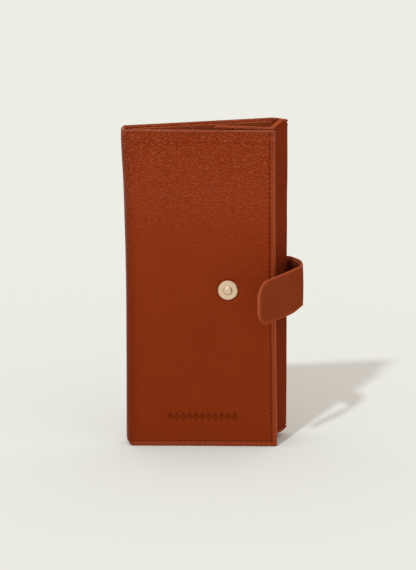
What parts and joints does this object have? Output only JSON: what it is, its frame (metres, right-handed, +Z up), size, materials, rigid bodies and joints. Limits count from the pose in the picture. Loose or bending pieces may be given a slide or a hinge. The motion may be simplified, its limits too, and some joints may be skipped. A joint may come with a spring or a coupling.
{
  "type": "long wallet",
  "caption": "Tall leather wallet with a front cover, folded spines, a tucked side flap, a magnetic snap strap, card slots and a zipped coin pocket.",
  "frame": {"origin": "on the surface the wallet stands on, at the back panel's bottom edge, at the outer line of the left fold", "axes": "+X along the back panel towards the strap, +Y out of the back, +Z up along the wallet's length"},
  "size_m": [0.1053, 0.0618, 0.195],
  "materials": {
    "leather": "satin",
    "lining": "matte",
    "thread": "matte",
    "board": "matte",
    "snap_metal": "satin",
    "zip_metal": "satin",
    "zip_tape": "matte"
  },
  "bodies": {
    "back": {"back_leather": "leather", "back_board": "board", "back_facing_left": "leather", "back_facing_right": "leather", "coin_pocket_lining": "lining", "zip_tape_left": "zip_tape", "zip_tape_right": "zip_tape", "zip_teeth": "zip_metal", "zip_stop_top": "zip_metal", "zip_stop_bottom": "zip_metal", "strap_anchor": "leather", "back_stitching": "thread"},
    "spine_left": {"spine_left_leather": "leather", "spine_left_lining": "lining"},
    "front_cover": {"front_leather": "leather", "front_board": "board", "front_facing": "leather", "card_slot_upper_1": "leather", "card_slot_upper_2": "leather", "card_slot_upper_3": "leather", "card_slot_upper_4": "leather", "card_slot_lower_1": "leather", "card_slot_lower_2": "leather", "card_slot_lower_3": "leather", "card_slot_lower_4": "leather", "snap_stud": "snap_metal", "snap_stud_washer": "snap_metal", "front_stitching": "thread"},
    "spine_right": {"spine_right_leather": "leather", "spine_right_lining": "lining", "spine_right_stitching": "thread"},
    "side_flap": {"flap_leather": "leather", "flap_board": "board", "flap_facing": "leather", "flap_pocket_1": "leather", "flap_pocket_2": "leather", "flap_pocket_3": "leather", "flap_stitching": "thread"},
    "strap_root": {"strap_fold": "leather"},
    "strap_middle": {"strap_middle_leather": "leather", "strap_middle_lining": "lining", "strap_middle_stitching": "thread"},
    "strap_end": {"strap_end_leather": "leather", "strap_end_lining": "lining", "strap_end_stitching": "thread", "snap_socket": "snap_metal", "snap_magnet": "snap_metal"},
    "zip_slider": {"zip_slider": "zip_metal"},
    "zip_pull": {"zip_pull": "leather"}
  },
  "joints": [
    {"name": "cover_fold", "type": "hinge", "parent": "back", "child": "spine_left", "pos_m": [0, 0, 0.0975], "axis": [0, 0, -1], "range_deg": [0, 84.65]},
    {"name": "cover_crease", "type": "hinge", "parent": "spine_left", "child": "front_cover", "pos_m": [-0.00107, -0.01145, 0.0975], "axis": [0, 0, -1], "range_deg": [0, 84.65]},
    {"name": "flap_fold", "type": "hinge", "parent": "back", "child": "spine_right", "pos_m": [0.097, 0, 0.0975], "axis": [0, 0, 1], "range_deg": [0, 125.2]},
    {"name": "flap_crease", "type": "hinge", "parent": "spine_right", "child": "side_flap", "pos_m": [0.084, -0.01849, 0.0975], "axis": [0, 0, 1], "range_deg": [0, 65.7]},
    {"name": "strap_lead", "type": "hinge", "parent": "back", "child": "strap_root", "pos_m": [0.0976, 0.0009, 0.0975], "axis": [0, 0, 1], "range_deg": [0, 115.1]},
    {"name": "strap_swing", "type": "hinge", "parent": "strap_root", "child": "strap_middle", "pos_m": [0.099, -0.0006, 0.0975], "axis": [0, 0, 1], "range_deg": [-15.2, 25]},
    {"name": "strap_bend", "type": "hinge", "parent": "strap_middle", "child": "strap_end", "pos_m": [0.0913, -0.0341, 0.0975], "axis": [0, 0, 1], "range_deg": [-43.6, 40]},
    {"name": "zip_slide", "type": "slide", "parent": "back", "child": "zip_slider", "axis": [0, 0, -1], "range_m": [0, 0.145]},
    {"name": "zip_pull_swing", "type": "hinge", "parent": "zip_slider", "child": "zip_pull", "pos_m": [0.034, -0.0064, 0.172], "axis": [1, 0, 0], "range_deg": [-25, 0]}
  ],
  "couplings": [
    {"joint": "cover_crease", "follows": "cover_fold", "ratio": 1},
    {"joint": "flap_fold", "follows": "cover_fold", "ratio": 1.478},
    {"joint": "flap_crease", "follows": "cover_fold", "ratio": 0.775},
    {"joint": "strap_lead", "follows": "cover_fold", "ratio": 1.3585}
  ]
}
